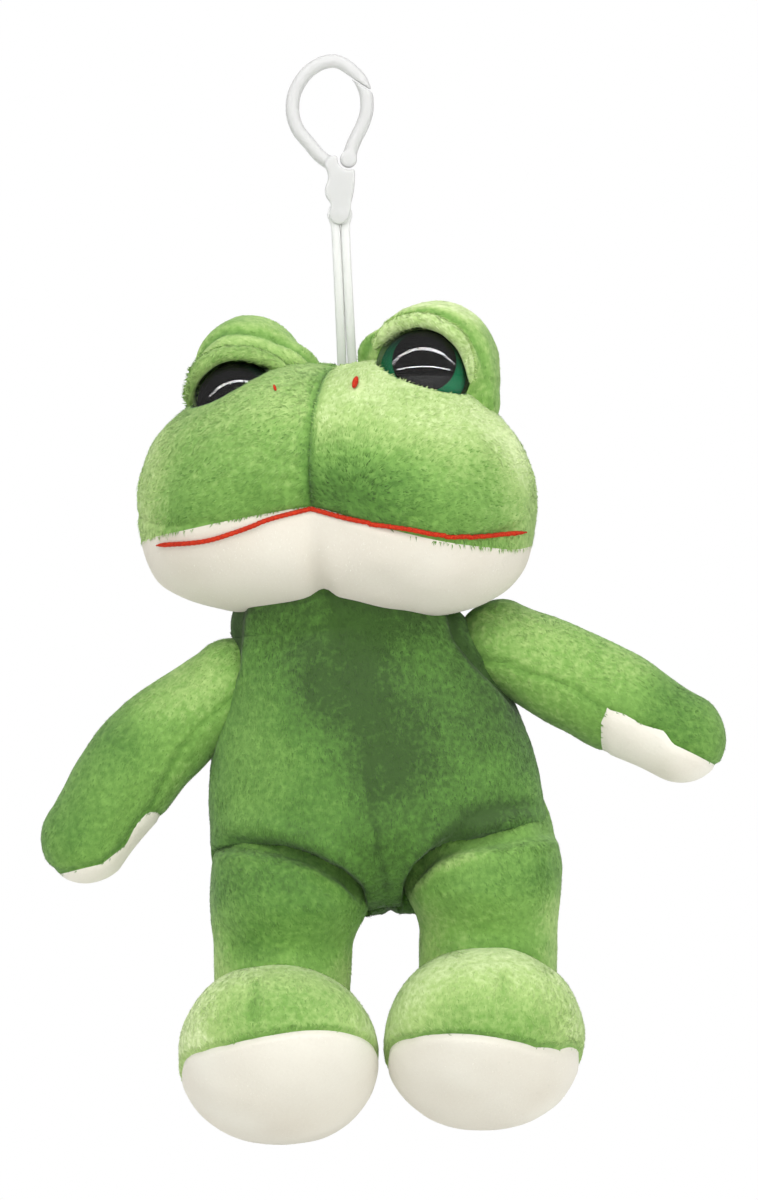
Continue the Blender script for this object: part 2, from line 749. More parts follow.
def tube_form(path, radii, sides):
    """A round tube along a path of points, closed at both ends."""
    path = np.asarray(path)
    along = unit(np.gradient(path, axis=0))
    across = np.zeros_like(path)
    first = np.cross(along[0], (0.0, 1.0, 0.0))
    for order, direction in enumerate(along):
        first = first - direction * (first @ direction)
        first = first / np.linalg.norm(first)
        across[order] = first
    other = np.cross(along, across)
    angle = 2.0 * np.pi * np.arange(sides) / sides
    ring = across[:, None] * np.cos(angle)[None, :, None] + other[:, None] * np.sin(angle)[None, :, None]
    corners = (path[:, None] + ring * np.asarray(radii)[:, None, None]).reshape(-1, 3)
    corners = np.concatenate((corners, path[:1], path[-1:]))
    faces = []
    for j in range(sides):
        after = (j + 1) % sides
        faces.append((len(corners) - 2, after, j))
        for i in range(len(path) - 1):
            low, high = i * sides, (i + 1) * sides
            faces.append((low + j, low + after, high + after, high + j))
        last = (len(path) - 1) * sides
        faces.append((len(corners) - 1, last + j, last + after))
    return Form(corners, faces)


def smooth_path(points, count, cyclic=False):
    """A path through the points, evenly spaced, by cardinal splines."""
    points = np.asarray(points, float)
    if cyclic:
        points = np.concatenate((points[-1:], points, points[:2]))
    else:
        points = np.concatenate((2 * points[:1] - points[1:2], points, 2 * points[-1:] - points[-2:-1]))
    out = []
    for a, b, c, d in zip(points, points[1:], points[2:], points[3:]):
        t = np.linspace(0.0, 1.0, 24, endpoint=False)[:, None]
        out.append(0.5 * (2 * b + (c - a) * t + (2 * a - 5 * b + 4 * c - d) * t ** 2
                          + (3 * b - a - 3 * c + d) * t ** 3))
    dense = np.concatenate(out + [points[-2:-1]])
    gone = np.concatenate(((0.0,), np.cumsum(np.linalg.norm(np.diff(dense, axis=0), axis=1))))
    at = np.linspace(0.0, gone[-1], count)
    return np.stack([np.interp(at, gone, dense[:, axis]) for axis in range(3)], 1)


# Shapes of the forms, close to those of the CAD source

def bowed_angle(angle, across):
    """The grid's angle moved so that its mouth line bows down to the cheeks. across is negative at left."""
    bow = np.where(across < 0, MOUTH_BOW_DEG - MOUTH_LIFT_LEFT_DEG, MOUTH_BOW_DEG)
    mouth = MOUTH_DEG - MOUTH_LOW_DEG - bow * np.abs(across)
    upper = mix(mouth, CROWN_DEG, (angle - MOUTH_DEG) / (CROWN_DEG - MOUTH_DEG))
    lower = mix(-CROWN_DEG, mouth, (angle + CROWN_DEG) / (MOUTH_DEG + CROWN_DEG))
    return np.where(np.abs(angle) > CROWN_DEG, angle, np.where(angle > MOUTH_DEG, upper, lower))


def head_directions(sphere):
    """The head's own directions, whose poles lie at the cheeks, and the angle up from the front."""
    x, y, z = sphere[:, 2], sphere[:, 0].copy(), sphere[:, 1].copy()
    y += CHEEK_POLE[0] * x ** 4
    z += CHEEK_POLE[1] * x ** 4
    length = np.sqrt(x * x + y * y + z * z)
    x, y, z = x / length, y / length, z / length
    radial = np.hypot(y, z)
    angle = bowed_angle(np.degrees(np.arctan2(z, -y)), x)
    return x, -radial * np.cos(np.radians(angle)), radial * np.sin(np.radians(angle)), radial, angle


def head_point(sphere):
    x, y, z, radial, angle = head_directions(sphere)
    power = mix(2.2, 2.8, fade(-z, 0.0, 0.6))
    reach = full_round(x, radial, power)
    depth = np.where(y < 0, HEAD_FRONT, HEAD_BACK)
    height = np.where(z > 0, HEAD_TOP, HEAD_BOTTOM)
    point = np.stack((HEAD_WIDTH / 2 * x, depth * y, height * z), 1) * reach[:, None]
    point[:, 2] -= HEAD_DROOP * x * x
    middle = bump(x, 0.0, 0.16)
    front = fade(-y, -0.35, 0.35)
    under = fade(-z, 0.45, 0.95) * fade(-y, -0.25, 0.30)
    off_mouth = np.radians(angle - bowed_angle(np.full(len(x), MOUTH_DEG), x))
    lip = bump(off_mouth, 0.0, 0.22) * fade(radial, 0.2, 0.6)
    cheek = bump(np.abs(x), 0.5, 0.3) * fade(-y, 0.1, 0.8) * fade(0.5 - z, 0.0, 0.8)
    notch = 0.4 * middle + 0.9 * bump(x, 0.0, 0.05)
    inward = MUZZLE_VALLEY * middle * front * (1.0 - under) + CHIN_NOTCH * notch * under
    socket = bump(np.abs(x), 0.5, 0.22) * bump(angle, 75.0, 32.0) * (x < 0)
    rise = bump(x, 0.60, 0.17) * bump(angle, 72.0, 28.0)
    inward = inward + MOUTH_GROOVE * lip - CHEEK_PUFF * cheek + EYE_DENT * socket - RIGHT_EYE_RISE * rise
    outward = unit(np.stack((np.zeros(len(y)), y, z), 1))
    return point - outward * (inward * np.minimum(1.0, radial * 2.0))[:, None]


def torso_point(d):
    height = mix(NECK_RADIUS, -SEAT_BELOW_NECK, (1.0 - d[:, 2]) / 2.0)
    around = d.copy()
    around[:, 2] = 0.0
    around = unit(around)
    level = np.sqrt(np.clip(1.0 - (height / NECK_RADIUS) ** 2, 0.0, None))
    swell = np.sin(np.pi / 2 * np.clip(-height / BELLY_BELOW_NECK, 0.0, 1.0)) ** 0.8
    below = np.clip((-height - BELLY_BELOW_NECK) / (SEAT_BELOW_NECK - BELLY_BELOW_NECK), 0.0, None)
    closing = np.clip(1.0 - below ** 2.4, 0.0, None) ** (1.0 / 2.4)
    top = height > 0
    width = np.where(top, NECK_HALF_WIDTH * level, mix(NECK_HALF_WIDTH, TORSO_HALF_WIDTH, swell) * closing)
    front = np.where(top, NECK_RADIUS * level, mix(NECK_RADIUS, TORSO_FRONT, swell) * closing)
    back = np.where(top, NECK_RADIUS * level, mix(NECK_RADIUS, TORSO_BACK, swell) * closing)
    depth = np.where(around[:, 1] < 0, front, back)
    low = fade(-height, BELLY_BELOW_NECK / 2, SEAT_BELOW_NECK)
    tilt = -SEAT_TILT * around[:, 1] * depth / TORSO_FRONT * low
    return np.stack((width * around[:, 0], depth * around[:, 1], height + tilt), 1)


def capped_tube(d, caps, length, radius_at, power=2.0):
    """A round-ended tube. caps is the share of the polar angle that each round end takes."""
    share = 1.0 - np.arccos(np.clip(d[:, 2], -1.0, 1.0)) / np.pi
    around = d.copy()
    around[:, 2] = 0.0
    around = unit(around)
    root = np.clip(share / caps, 0.0, 1.0)
    tip = np.clip((1.0 - share) / caps, 0.0, 1.0)
    along = np.clip((share - caps) / (1.0 - 2.0 * caps), 0.0, 1.0)
    lift = np.where(share < 0.5, -np.pi / 2 * (1.0 - root), np.pi / 2 * (1.0 - tip))
    out = around * np.cos(lift)[:, None]
    out[:, 2] += np.sin(lift)
    rounder = full_round(out[:, 0], np.hypot(out[:, 1], out[:, 2]), power)
    rounder = mix(rounder, 1.0, fade(share, 0.15, 0.45))
    point = out * (radius_at(along) * rounder)[:, None]
    point[:, 2] += length * along
    return point


def arm_radius(share):
    full = mix(ARM_ROOT_RADIUS, ARM_RADIUS, along_table(ARM_RADIUS_SHARES, share))
    return mix(full, HAND_RADIUS, fade(share, 0.6, 1.0))


def arm_point(side):
    def shape(d):
        point = capped_tube(d, 0.27, ARM_LENGTH[side], arm_radius)
        share = np.clip(point[:, 2] / ARM_LENGTH[side], 0.0, 1.0)
        point[:, 0] += ARM_BOW[side] * np.sin(np.pi * share)
        return point
    return shape


def leg_point(d):
    return capped_tube(d, 0.40, LEG_LENGTH, lambda share: np.full(len(d), LEG_RADIUS), 3.0)


def foot_point(directions):
    d = directions.copy()
    d[:, 2] -= 0.25 * np.clip(-d[:, 1], 0.0, None) * (1.0 - d[:, 2] ** 2)
    d = unit(d)
    flat = np.hypot(d[:, 0], d[:, 1])
    reach = np.where(flat > 1e-6, full_round(d[:, 0], d[:, 1] + 1e-9, 2.2) * flat, 1.0)
    across = (1.0 + 0.04 * np.clip(-d[:, 1], 0.0, None)) / 1.04
    thickness = np.where(d[:, 2] > 0, FOOT_TOP, FOOT_SOLE)
    return np.stack((FOOT_HALF_WIDTH * d[:, 0] * reach * across, FOOT_HALF_LENGTH * d[:, 1] * reach,
                     thickness * d[:, 2]), 1)


# Head

def eye_levels():
    """Heights of the iris's back and of the dome's edge in the eye's frame."""
    iris_low = EYE_SEAT + PLATE_THICKNESS + PLAY
    pupil_low = iris_low + DISC_THICKNESS + PLAY
    return iris_low, pupil_low + DISC_THICKNESS + PLAY


def dome_ball():
    radius = (EYE_RADIUS ** 2 + EYE_DOME ** 2) / (2 * EYE_DOME)
    return radius, eye_levels()[1] + EYE_DOME - radius


def dome_profile(grow_by, points, radius_limit=EYE_RADIUS):
    """An arc beside the dome's surface, from its middle out to a radius."""
    radius, middle = dome_ball()
    radius += grow_by
    open_angle = math.asin(min(1.0, radius_limit / radius))
    angles = [open_angle * step / points for step in range(points + 1)]
    return [(radius * math.sin(a), radius * math.cos(a) + middle) for a in angles]


def eye_room(side):
    wall = EYE_RADIUS + PLAY / 2
    profile = dome_profile(PLAY / 2, 12, wall)
    profile += [(wall, eye_levels()[1]), (wall, EYE_ROOM_LOW), (0.0, EYE_ROOM_LOW)]
    return turned("eye_room", profile, eye_frame(side), GREEN_CLOTH)


def off_eyes(points):
    """True for points outside the room of both eyes."""
    radius, middle = dome_ball()
    free = np.ones(len(points), bool)
    for side in SIDES:
        local = placed(eye_frame(side).inverted(), points)
        across = np.hypot(local[:, 0], local[:, 1])
        ball = np.hypot(across, local[:, 2] - middle)
        inside = (across < EYE_RADIUS + 0.0004) & (ball < radius + 0.0004) & (local[:, 2] > EYE_ROOM_LOW)
        free &= ~inside
    return free


def paint_head(form, across, above):
    """The tones and the nap of the muzzle in the photograph, and plainer ones behind it."""
    view = as_seen(form.points)
    off = view - seen_at(*WHORL)
    dark = np.exp(-((off[:, 0] / 0.017) ** 2 + ((off[:, 1] - 0.004) / 0.017) ** 2))
    low = fade(seen_z(MUZZLE_DARK_FROM["right"]) - view[:, 1], 0.0, 0.022)
    edge = fade(view[:, 0] - seen_x(MUZZLE_LIGHT_FROM["right"]), 0.0, 0.012)
    right = mix(0.87, 0.45, low) - 0.29 * dark + 0.24 * edge
    low = fade(seen_z(MUZZLE_DARK_FROM["left"]) - view[:, 1], 0.0, 0.025)
    edge = fade(seen_x(MUZZLE_LIGHT_FROM["left"]) - view[:, 0], 0.0, 0.012)
    left = mix(0.65, 0.44, low) + 0.30 * edge
    form.tone = np.where(across > 0, right, left)
    form.tone += noise_layers(form.points, (0.05, 0.009, 61), (0.03, 0.004, 62))
    form.tone -= 0.25 * bump(across, 0.0, 0.0012)
    behind = fade(form.points[:, 1], HEAD_PLACE.y - 0.012, HEAD_PLACE.y + 0.008)
    form.tone = mix(form.tone, 0.48 + 0.12 * noise(form.points, 0.011, 63), behind)
    away = np.stack((off[:, 0], np.zeros(len(off)), off[:, 1]), 1)
    form.nap = np.where((across > 0)[:, None], unit(away) + (0.1, 0.0, 0.0), (-0.8, 0.2, -0.55))
    form.nap = np.where((above & (behind < 0.5))[:, None], form.nap, (0.0, 0.3, -1.0))


def make_head():
    form = form_of(head_point, HEAD_FRAME, segments=224, rings=160)
    x, _, _, radial, angle = head_directions(form.directions)
    local = placed(HEAD_FRAME.inverted(), form.points)
    mouth = bowed_angle(np.full(len(x), MOUTH_DEG), x)
    above = angle > mouth + 0.5
    grid_angle = np.degrees(np.arctan2(form.directions[:, 1], -form.directions[:, 0]))
    size = np.hypot(local[:, 1], local[:, 2])
    off_mouth = np.radians(angle - mouth) * size
    off_crown = np.radians(np.abs(grid_angle) - CROWN_DEG) * size
    off_centre = local[:, 0]
    seam = 0.0010 * bump(off_centre, 0.0, 0.0009) * (above | (np.abs(angle) > CROWN_DEG))
    for off_seam in (off_mouth, off_crown):
        seam += 0.0008 * bump(off_seam, 0.0, 0.0010) * fade(radial, 0.1, 0.3)
    pucker = 0.00045 * noise(form.points * (1.0, 1.0, 2.2), 0.0045, 5)
    pucker = pucker * bump(off_centre, 0.0, 0.007) * above
    lumps = noise_layers(form.points, (0.0005, 0.014, 6), (0.0002, 0.006, 7))
    form.push(-seam + pucker + lumps - PILE_ROOM + 0.0009 * fade(np.abs(x), 0.5, 0.95))
    paint_head(form, off_centre, above)

    middle = form.middles()
    around = np.degrees(np.arctan2(middle[:, 1], -middle[:, 0]))
    top = (around > MOUTH_DEG) & (around < CROWN_DEG)
    back = np.abs(around) > CROWN_DEG
    for side, slot in (("left", "green_plush"), ("right", "light_plush")):
        chosen = (middle[:, 2] < 0) == (side == "left")
        dress("muzzle_cloth_" + side, form, top & chosen, "green", "head", ["muzzle_" + side],
              keep=off_eyes, cutter=eye_room(side))
        dress("nape_cloth_" + side, form, back & chosen, "green", "head",
              ["head_back_" + side])
    form.tone = 0.50 + 0.2 * noise(form.points, 0.012, 64)
    dress("chin_cloth", form, ~top & ~back, "white", "head", ["chin", "head_stuffing"])
    return form


# Eye hoods and lids

def swung(start, end, share):
    """Unit vectors turned evenly from the starts to the ends."""
    span = np.maximum(np.arccos(np.clip(np.sum(start * end, axis=1), -1.0, 1.0)), 1e-6)
    first = np.sin(span * (1.0 - share)) / np.sin(span)
    last = np.sin(span * share) / np.sin(span)
    return unit(start * first[:, None] + end * last[:, None])


# Rings of points in the eye's pocket, before the hood's ball begins
POCKET_RINGS = 5


def hood_surface(side, segments=120, rows=46):
    """The hood from the middle of the eye's pocket over its rim to its back."""
    centre = np.array(hood_centre(side))
    wall = EYE_RADIUS + PLAY
    phi = 2.0 * np.pi * np.arange(segments) / segments
    rim = rim_points(side, phi, PLAY)
    first = rim - centre
    reach = np.linalg.norm(first, axis=1)
    first = first / reach[:, None]
    outward = np.stack((np.sin(phi), np.cos(phi), np.zeros(segments)), 1)
    back = np.tile((0.0, 0.0, -1.0), (segments, 1))
    front_span = np.arccos(np.clip(np.sum(first * outward, axis=1), -1.0, 1.0))
    span = front_span + np.pi / 2
    points = [np.tile((0.0, 0.0, EYE_SEAT - PLAY), (segments, 1))]
    ball, ball_middle = dome_ball()
    inside = np.hypot(rim[:, 0], rim[:, 1])
    for share in (0.0, 0.01, 0.35, 0.7):
        across = mix(wall, inside, share)
        row = np.stack((across * np.sin(phi), across * np.cos(phi), np.full(segments, EYE_SEAT - PLAY)), 1)
        if share > 0:
            on_dome = ball_middle + np.sqrt(np.clip((ball + PLAY) ** 2 - across ** 2, 0.0, None))
            row[:, 2] = np.minimum(on_dome, rim[:, 2])
        points.append(row)
    arcs = [np.zeros(segments)] * POCKET_RINGS
    upper = fade(np.cos(phi), -0.35, 0.45)
    for row in range(rows):
        share = row / (rows - 1)
        turned_by = span * share
        ahead = np.clip(turned_by / np.maximum(front_span, 1e-6), 0.0, 1.0)
        behind = np.clip((turned_by - front_span) / (np.pi / 2), 0.0, 1.0)
        way = np.where((turned_by < front_span)[:, None], swung(first, outward, ahead),
                       swung(outward, back, behind))
        arc = turned_by * HOOD_RADIUS
        size = mix(reach, HOOD_RADIUS, fade(share, 0.0, 0.6))
        crease = HOOD_CREASE[side]
        grow_by = 0.0006 * bump(arc, crease - 0.003, 0.0020) - 0.0009 * bump(arc, crease, 0.0008)
        grow_by += 0.0005 * bump(arc, crease + 0.003, 0.0022)
        grow_by = grow_by * upper
        inner = np.clip(-SIDES[side] * way[:, 0], 0.0, 1.0)
        outer = np.clip(SIDES[side] * way[:, 0], 0.0, 1.0)
        flare = 0.0032 * fade(inner - 0.5 * way[:, 1], 0.55, 0.95)
        if side == "left":
            flare += 0.0010 * fade(-way[:, 1], 0.0, 0.45) * outer - 0.0034 * outer
        else:
            flare += 0.0018 * fade(-way[:, 1], -0.1, 0.45) * outer + 0.0002 * upper
            flare += 0.0045 * fade(-way[:, 1], 0.30, 0.75) * outer
        grow_by += flare * fade(arc, 0.0010, 0.0060)
        points.append(centre + way * (size + grow_by)[:, None])
        arcs.append(arc)
    points = np.concatenate(points)
    faces = []
    total = rows + POCKET_RINGS
    for i in range(1, total):
        for j in range(segments):
            after = (j + 1) % segments
            low, high = (i - 1) * segments, i * segments
            faces.append((low + j, low + after, high + after, high + j))
    merged = Form(placed(eye_frame(side), points), faces)
    merged.arc = np.concatenate(arcs)
    merged.upper = np.tile(upper, total)
    merged.segments = segments
    return merged


def hood_centre(side):
    """The middle of the hood's ball in the eye's frame."""
    return Vector((SIDES[side] * EYE_IN[side], EYE_DROP[side] + EYE_LOWER[side], -EYE_RAISE))


def rim_points(side, angles, off_dome):
    """Where a ring round the eye meets both the dome and the hood, or the pocket's wall below it."""
    centre = hood_centre(side)
    ball, middle = dome_ball()
    out = []
    for angle in angles:
        across = np.linspace(EYE_RADIUS + PLAY, 0.004, 240)
        x, y = across * math.sin(angle), across * math.cos(angle)
        high = HOOD_RADIUS ** 2 - (x - centre.x) ** 2 - (y - centre.y) ** 2
        hood = centre.z + np.sqrt(np.clip(high, 0.0, None))
        dome = middle + np.sqrt(np.clip((ball + off_dome) ** 2 - across ** 2, 0.0, None))
        first = np.argmax(dome >= hood)
        out.append((x[first], y[first], hood[first]))
    return np.array(out)


LID_TONE = {"left": 0.68, "right": 0.86}
HOOD_TONE = {"left": 0.62, "right": 0.60}
HOOD_TOP_TONE = {"left": 0.0, "right": 0.34}


def make_hood(side):
    form = hood_surface(side)
    lumps = 0.0003 * noise(form.points, 0.007, 71 + int(SIDES[side]))
    lumps[:POCKET_RINGS * form.segments] = 0.0
    form.push(lumps)
    crease = HOOD_CREASE[side]
    form.tone = HOOD_TONE[side] + 0.10 * noise(form.points, 0.008, 73)
    form.tone += HOOD_TOP_TONE[side] * fade(form.normals[:, 2], 0.4, 0.95)
    form.tone -= 0.25 * bump(form.arc, crease, 0.0009) * form.upper
    form.tone += 0.10 * bump(form.arc, crease - 0.0025, 0.0018) * form.upper
    form.tone[:POCKET_RINGS * form.segments] = -0.2
    local = placed(eye_frame(side).inverted(), form.points)
    around = np.stack((local[:, 1], -local[:, 0], np.zeros(len(local))), 1) * SIDES[side]
    turned_nap = np.array(eye_frame(side))[:3, :3]
    form.nap = unit(around) @ turned_nap.T + (0.0, 0.4, -0.5)
    body = form.faces[form.segments:]
    name = "hood_cloth_" + side
    mesh = mesh_of(name, form.points, form.faces, GREEN_CLOTH, form.tone)
    shape = bmesh.new()
    shape.from_mesh(mesh)
    bmesh.ops.remove_doubles(shape, verts=shape.verts[:], dist=1e-6)
    bmesh.ops.recalc_face_normals(shape, faces=shape.faces[:])
    shape.to_mesh(mesh)
    shape.free()
    add_piece(name, mesh, "head", ["eye_hood_" + side, "hood_stuffing_" + side])
    outside = [face for face in body if form.arc[face[2]] > 0.0]
    add_pile(name, form, outside, "hood", "head", keep=off_eyes)


def make_lid(side):
    count = 61
    ends = (-LID_SWEEP_DEG["inner"] * SIDES[side], LID_SWEEP_DEG["outer"] * SIDES[side])
    angles = np.radians(np.linspace(*ends, count))
    path = rim_points(side, angles, 0.0)
    share = np.linspace(-1.0, 1.0, count)
    outer = fade(share, 0.1, 0.9)
    path += unit(path * (1.0, 1.0, 0.0)) * (LID_SHIFT[side] * (1.0 - 0.7 * outer))[:, None]
    path = placed(eye_frame(side), path)
    radii = LID_RADIUS * np.sqrt(np.clip(1.0 - np.abs(share) ** 5, 0.02, 1.0)) * (1.0 - 0.2 * outer)
    form = tube_form(path, radii, 20)
    form.push(0.00025 * noise(form.points, 0.0035, 81))
    form.tone = LID_TONE[side] + 0.08 * noise(form.points, 0.005, 82)
    axis = np.array(eye_frame(side))
    to_eye = axis[:3, 3] - form.points
    form.nap = 0.7 * unit(to_eye) + 0.9 * axis[:3, 2] + SIDES[side] * 0.5 * axis[:3, 0]
    name = "lid_cloth_" + side
    add_piece(name, mesh_of(name, form.points, form.faces, GREEN_CLOTH, form.tone), "head",
              ["eyelid_" + side])
    add_pile(name, form, form.faces, "lid", "head", keep=off_eyes)


# Eyes

def eye_materials():
    dome = new_material("eye_dome_clear", (1.0, 1.0, 1.0, 1.0), 0.0)
    nodes = dome.node_tree.nodes
    clear = nodes.new("ShaderNodeBsdfTransparent")
    gloss = add_node(dome, "ShaderNodeBsdfGlossy", Roughness=0.02)
    choose = add_node(dome, "ShaderNodeMixShader", Fac=0.022)
    dome.node_tree.links.new(clear.outputs[0], choose.inputs[1])
    dome.node_tree.links.new(gloss.outputs[0], choose.inputs[2])
    dome.node_tree.links.new(choose.outputs[0], nodes["Material Output"].inputs["Surface"])
    nodes.remove(nodes["Principled BSDF"])

    iris = new_material("eye_iris_green", linear((0, 96, 60)), 0.35)
    tone = add_node(iris, "ShaderNodeAttribute", attribute_name="tone")
    colour_by(iris, tone, "Fac", ((10, 22, 20), (8, 132, 84)), (0.0, 1.0))
    black = new_material("eye_black", (0.004, 0.004, 0.004, 1.0), 0.9)
    for material in (iris, black):
        material.node_tree.nodes["Principled BSDF"].inputs["Specular IOR Level"].default_value = 0.0
    return dome, iris, black


DOME, IRIS, BLACK = eye_materials()


def make_eye(side):
    place = eye_frame(side)
    iris_low, dome_low = eye_levels()
    ball, middle = dome_ball()
    inner = EYE_RADIUS - EYE_LENS
    dome = dome_profile(0.0, 40) + [(EYE_RADIUS, dome_low), (inner, dome_low)]
    dome += dome_profile(-EYE_LENS, 40, inner)[::-1]
    iris = dome_profile(-2.4 * EYE_LENS, 24, inner - PLAY)
    iris += [(inner - PLAY, iris_low), (0.0, iris_low)]
    pupil = dome_profile(-1.4 * EYE_LENS, 20, PUPIL_RADIUS[side])
    pupil += dome_profile(-2.1 * EYE_LENS, 20, PUPIL_RADIUS[side] - PLAY)[::-1]
    to_ball = Matrix.Translation((0.0, 0.0, middle))
    lean = Matrix.Rotation(-math.asin(PUPIL_RISE[side] / ball), 4, "X")
    leant = place @ to_ball @ lean @ to_ball.inverted()
    rows = (("eye_dome_", dome, place, DOME, "clear_dome"), ("eye_iris_", iris, place, IRIS, "green_iris"),
            ("eye_pupil_", pupil, leant, BLACK, "black_plastic"))
    for name, profile, where, material, slot in rows:
        mesh = turned(name, profile, where, material)
        if material == IRIS:
            corners = np.array([corner.co for corner in mesh.vertices])
            height = placed(place.inverted(), corners)[:, 1] / EYE_RADIUS
            tone = np.clip(0.5 - 0.75 * height - 0.35 * (side == "left"), 0.0, 1.0)
            mesh.attributes.new("tone", "FLOAT", "POINT").data.foreach_set("value", tone)
        add_piece(name + side + "_fine", mesh, "head", [name + side])
    for name in ("eye_plate_", "eye_washer_"):
        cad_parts[name + side].data.materials[0] = BLACK


# Embroidery

def thread_material():
    red = new_material("red_embroidery", linear((190, 44, 14)), 0.8, Specular_IOR_Level=0.15)
    wave = grain(red, 2600.0, 0.6, 0.0002, detail=2.0)
    colour_by(red, wave, "Fac", ((156, 30, 10), (206, 54, 20)), (0.3, 0.7))
    return red


RED = thread_material()


def seen_on(form, spots):
    """The points of the form that the photograph shows at these pixels."""
    tree = BVHTree.FromPolygons(form.points.tolist(), form.faces)
    eye = Vector((VIEW_X, -VIEW_DISTANCE, VIEW_Z))
    hits = []
    for x, y in spots:
        across, up = seen_at(x, y)
        place, normal, _, _ = tree.ray_cast(eye, Vector((across, 0.0, up)) - eye)
        hits.append(place + normal * THREAD_LIFT)
    return np.array(hits)


def make_thread(kind, side, path, radii):
    name = f"{kind}_thread_{side}"
    form = tube_form(path, radii, 12)
    add_piece(name, mesh_of(name, form.points, form.faces, RED), "head",
              [f"{kind}_stitch_{side}"])


def make_mouth(head):
    for side, line in MOUTH_LINES.items():
        flat = smooth_path([(x, y, 0.0) for x, y in line], 110)[:, :2]
        path = seen_on(head, flat)
        share = np.linspace(0.0, 1.0, len(path))
        radii = MOUTH_CORD / 2 * (1.0 - 0.6 * fade(share, 0.95, 1.0))
        radii += 0.00005 * np.sin(np.arange(len(path)) * 1.9)
        make_thread("mouth", side, path, radii)


def make_nostrils(head):
    for side, (start, end, thick, lift) in NOSTRILS.items():
        share = np.linspace(0.0, 1.0, 15)
        spots = [(mix(start[0], end[0], part), mix(start[1], end[1], part)) for part in share]
        path = seen_on(head, spots) + np.array((0.0, -lift, lift))
        radii = thick * np.sqrt(np.clip(1.0 - (2.0 * share - 1.0) ** 2, 0.03, 1.0))
        make_thread("nostril", side, path, radii)


# Body

# How far before and after a joint its cloth blends from one body to the next
SHOULDER_BLEND = (0.008, 0.008)
HIP_BLEND = (0.004, 0.011)
ANKLE_BLEND = (0.004, 0.010)


def blend_over(first, second, joint, along, reach):
    return first, second, tuple(joint - along * reach[0]), tuple(joint + along * reach[1])


def lines_on(form, rows):
    """Depth of the creases drawn over the front of a form, and how dark they make it."""
    view = as_seen(form.points)
    facing = fade(-form.normals[:, 1], -0.1, 0.3)
    depth = np.zeros(len(view))
    dark = np.zeros(len(view))
    for line, deep, wide, shade in rows:
        far = line_distance(view, [seen_at(*spot) for spot in line])
        depth += deep * bump(far, 0.0, wide) * facing
        dark += shade * bump(far, 0.0, wide * 1.3) * facing
    return depth, dark


def spots_on(form, rows):
    """Soft light and dark patches, each a pixel, a size in metres and a strength."""
    view = as_seen(form.points)
    front = fade(-form.normals[:, 1], -0.2, 0.3)
    total = np.zeros(len(view))
    for x, y, size, strength in rows:
        place = np.array(seen_at(x, y))
        total += strength * np.exp(-np.sum((view - place) ** 2, axis=1) / size ** 2) * front
    return total


# Creases, each with its line in the photograph's pixels, its depth and width in metres, and how dark it is
TORSO_LINES = (
    (((369, 755), (372, 800), (378, 850), (388, 894)), 0.0003, 0.0007, 0.12),
    (((251, 605), (247, 636), (238, 668), (226, 690), (222, 703)), 0.0016, 0.0010, 0.30),
    (((452, 605), (460, 635), (475, 656), (497, 677), (523, 706)), 0.0016, 0.0010, 0.30),
    (((448, 842), (470, 822), (500, 812), (530, 806)), 0.0010, 0.0022, 0.20),
    (((455, 838), (500, 800), (530, 770)), 0.0005, 0.0026, 0.06),
    (((330, 598), (338, 615), (340, 640)), 0.0006, 0.0012, 0.12),
)
TORSO_SPOTS = (
    (350, 622, 0.014, -0.12), (400, 620, 0.012, -0.08), (336, 690, 0.010, -0.15), (300, 700, 0.007, -0.04),
    (370, 712, 0.009, -0.05), (397, 768, 0.009, -0.17), (375, 740, 0.008, -0.03), (250, 670, 0.010, 0.14),
    (430, 660, 0.012, 0.08), (270, 760, 0.016, 0.18), (235, 740, 0.014, 0.10), (340, 830, 0.014, 0.08),
    (475, 790, 0.012, 0.08), (545, 790, 0.010, 0.22), (225, 820, 0.012, 0.16), (500, 690, 0.010, -0.05),
    (440, 870, 0.008, -0.05),
)


def hip_depth(view, side):
    """How far below the hip's crease each seen point lies."""
    line = np.array([seen_at(*spot) for spot in HIP_LINES[side]])
    return np.interp(view[:, 0], line[:, 0], line[:, 1]) - view[:, 1]


def hip_reach(view, side, end, width):
    """Zero past one end of the hip's crease, and one from this width inside it."""
    last = -1 if (side == "left") == (end == "inner") else 0
    sign = SIDES[side] if end == "inner" else -SIDES[side]
    return fade(sign * (view[:, 0] - seen_at(*HIP_LINES[side][last])[0]), 0.0, width)


